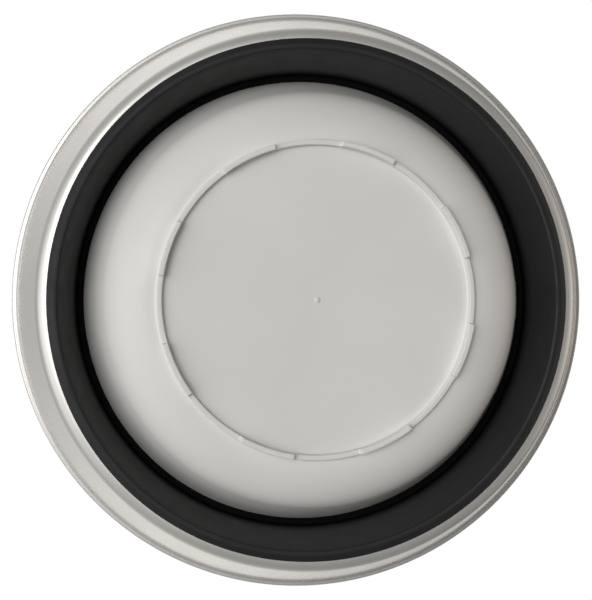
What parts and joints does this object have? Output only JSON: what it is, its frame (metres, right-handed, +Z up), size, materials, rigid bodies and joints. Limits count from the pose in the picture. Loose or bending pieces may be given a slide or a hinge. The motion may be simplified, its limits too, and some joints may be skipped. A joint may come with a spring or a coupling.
{
  "type": "portable mini washer",
  "caption": "Round folding mini washer, folded flat: white bowl base with a ring of feet, black silicone folding wall, flared white rim, clear-windowed lift-off lid, geared central pulsator.",
  "frame": {"origin": "centre of the ring of feet, on the surface the washer stands on", "axes": "+Z up along the pulsator shaft; -Y towards the power button; washer folded down"},
  "size_m": [0.3, 0.3, 0.0962],
  "materials": {
    "base_white": "satin moulded, slightly warm white",
    "tub_white": "glossy moulded white",
    "rim_white": "glossy moulded white",
    "lid_white": "glossy moulded white",
    "silicone_black": "matt silicone, near black",
    "window_clear": "clear, polished",
    "pulsator_white": "glossy moulded white",
    "control_grey": "fine matt grey",
    "lens_clear": "frosted clear",
    "socket_black": "matt black",
    "board_green": "solder resist",
    "gear_nylon": "natural nylon",
    "steel": "plated steel",
    "bronze": "sintered bronze and brass",
    "magnet_dark": "ferrite",
    "seal_rubber": "black rubber"
  },
  "bodies": {
    "base": {"base_shell": "base_white", "tub_pan": "tub_white", "base_screws": "steel", "base_screw_seals": "seal_rubber", "bellows_base_bead": "silicone_black", "button_bezel": "control_grey", "tact_switch": "socket_black", "control_board": "board_green", "board_parts": "socket_black", "board_screws": "steel", "inlet_socket": "socket_black", "inlet_pin": "steel", "indicator_lens": "lens_clear", "gearbox_housing": "socket_black", "gearbox_cover": "socket_black", "gearbox_screws": "steel", "lower_bush": "bronze", "upper_bush": "bronze", "shaft_seal": "seal_rubber", "idler_pin": "steel", "motor_can": "steel", "motor_front_plate": "steel", "motor_screws": "steel", "motor_magnet": "magnet_dark"},
    "motor_rotor": {"armature": "steel", "motor_shaft": "steel", "motor_pinion": "bronze"},
    "idler": {"idler_gear": "gear_nylon"},
    "pulsator": {"output_shaft": "steel", "output_gear": "gear_nylon", "pulsator": "pulsator_white", "pulsator_screw": "steel", "pulsator_cap": "pulsator_white"},
    "power_button": {"button_cap": "control_grey", "switch_plunger": "steel"},
    "bellows": {"bellows_wall": "silicone_black"},
    "rim": {"rim_shell": "rim_white", "bellows_rim_band": "silicone_black"},
    "lid": {"lid_frame": "lid_white", "lid_gasket": "seal_rubber", "lid_window": "window_clear", "lid_knob": "lid_white", "knob_screw": "steel"}
  },
  "joints": [
    {"name": "unfold", "type": "slide", "parent": "base", "child": "rim", "axis": [0, 0, 1], "range_m": [0, 0.068]},
    {"name": "bellows_follow", "type": "slide", "parent": "base", "child": "bellows", "axis": [0, 0, 1], "range_m": [0, 0.034]},
    {"name": "lid_lift", "type": "slide", "parent": "rim", "child": "lid", "axis": [0, 0, 1], "range_m": [0, 0.06]},
    {"name": "pulsator_spin", "type": "hinge", "parent": "base", "child": "pulsator", "pos_m": [0, 0, 0.051], "axis": [0, 0, 1], "continuous": true},
    {"name": "idler_spin", "type": "hinge", "parent": "base", "child": "idler", "pos_m": [0, 0.03875, 0.036], "axis": [0, 0, 1], "continuous": true},
    {"name": "motor_spin", "type": "hinge", "parent": "base", "child": "motor_rotor", "pos_m": [0.025, 0.03875, 0.02], "axis": [0, 0, 1], "continuous": true},
    {"name": "button_press", "type": "slide", "parent": "base", "child": "power_button", "axis": [0, 0.9578, 0.2874], "range_m": [0, 0.0012], "stiffness_N_per_m": 900, "springref_m": -0.0008}
  ],
  "couplings": [
    {"joint": "bellows_follow", "follows": "unfold", "ratio": 0.5},
    {"joint": "idler_spin", "follows": "pulsator_spin", "ratio": -3.4286},
    {"joint": "motor_spin", "follows": "pulsator_spin", "ratio": 10.857}
  ]
}
